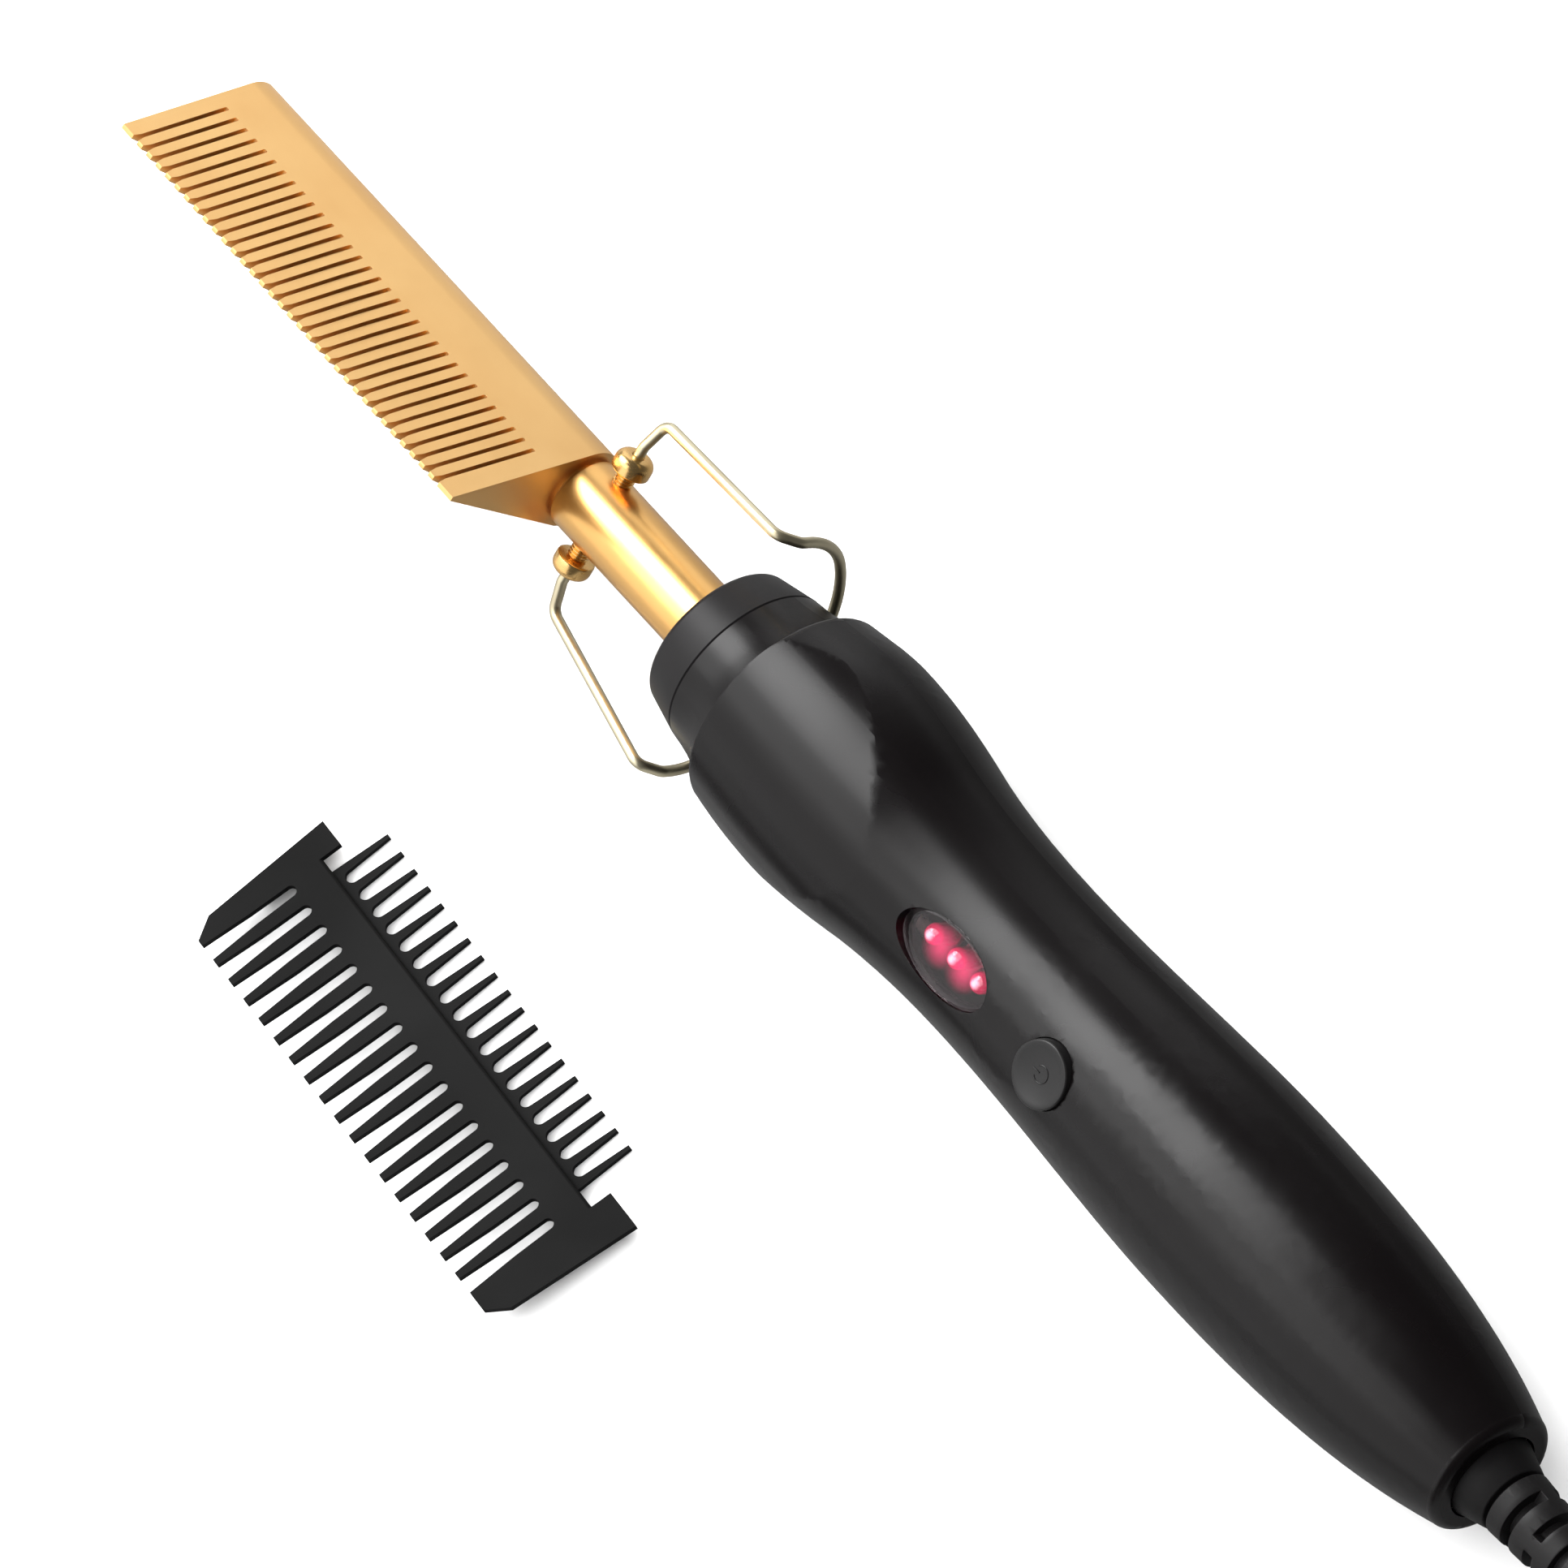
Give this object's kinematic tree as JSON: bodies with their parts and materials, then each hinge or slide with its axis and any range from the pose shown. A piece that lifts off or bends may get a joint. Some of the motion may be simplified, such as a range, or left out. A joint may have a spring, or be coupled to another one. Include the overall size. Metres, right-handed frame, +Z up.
{
  "type": "electric hot comb",
  "caption": "Corded heated comb: slotted wedge comb head on a tube, folding wire stand, shaped handle with a push button and lamp window, swivel cord with plug, and a separate guard comb.",
  "frame": {"origin": "the point of the table straight below the stand's pivot, with the tool lying on its handle", "axes": "+Z up from the table; +X along the barrel from the comb head to the cord; +Y to the side away from the guard comb. The tool is rolled 31 degrees about X, so its teeth point up and towards -Y."},
  "size_m": [0.4327, 0.1295, 0.0414],
  "materials": {
    "gold_head": "satin gold plate",
    "gold_barrel": "polished gold plate",
    "heater_ceramic": "ceramic, matt",
    "lead_sleeve": "silicone sleeve",
    "bush_resin": "phenolic resin",
    "black_collar": "satin",
    "brass_screw": "polished",
    "pale_wire": "pale brass-plated wire",
    "black_handle": "soft gloss",
    "steel_screw": "zinc plated",
    "clear_lens": "clear, polished",
    "red_lamp": "lit red",
    "black_button": "soft gloss",
    "switch_case": "matt",
    "board_laminate": "lacquered laminate",
    "capacitor_case": "moulded case",
    "triac_case": "moulded case",
    "socket_plastic": "natural nylon",
    "contact_brass": "bare",
    "black_swivel": "satin",
    "cord_vinyl": "soft vinyl",
    "tie_strip": "woven hook and loop",
    "pin_brass": "nickel-washed brass",
    "black_guard": "satin"
  },
  "bodies": {
    "handle": {"comb_head": "gold_head", "barrel_tube": "gold_barrel", "heater_element": "heater_ceramic", "temperature_sensor": "heater_ceramic", "heater_leads": "lead_sleeve", "insulating_bush": "bush_resin", "collar_cap": "black_collar", "stand_screws": "brass_screw", "front_shell": "black_handle", "back_shell": "black_handle", "shell_screws": "steel_screw", "window_lens": "clear_lens", "indicator_lamps": "red_lamp", "power_switch": "switch_case", "control_board": "board_laminate", "board_screws": "steel_screw", "film_capacitor": "capacitor_case", "triac": "triac_case", "supply_leads": "lead_sleeve", "swivel_socket": "socket_plastic", "contact_brushes": "contact_brass", "power_cord": "cord_vinyl", "cord_coil": "cord_vinyl", "cord_tie": "tie_strip", "plug_cord": "cord_vinyl", "plug_body": "cord_vinyl", "plug_pins": "pin_brass"},
    "stand": {"wire_stand": "pale_wire"},
    "button": {"power_button": "black_button", "switch_plunger": "black_button"},
    "swivel": {"swivel_ring": "black_swivel", "contact_rings": "contact_brass", "swivel_clip": "steel_screw", "strain_relief": "cord_vinyl"},
    "guard": {"guard_comb": "black_guard"}
  },
  "joints": [
    {"name": "stand_pivot", "type": "hinge", "parent": "handle", "child": "stand", "pos_m": [0, 0, 0.0183], "axis": [0, 0.8572, 0.515], "range_deg": [0, 135]},
    {"name": "button_press", "type": "slide", "parent": "handle", "child": "button", "axis": [0, 0.515, -0.8572], "range_m": [0, 0.0008], "stiffness_N_per_m": 1200, "springref_m": -0.0004},
    {"name": "cord_swivel", "type": "hinge", "parent": "handle", "child": "swivel", "pos_m": [0.2, 0, 0.0183], "axis": [1, 0, 0], "continuous": true},
    {"name": "guard_lift", "type": "slide", "parent": "handle", "child": "guard", "axis": [0, 0, 1], "range_m": [0, 0.05]}
  ]
}
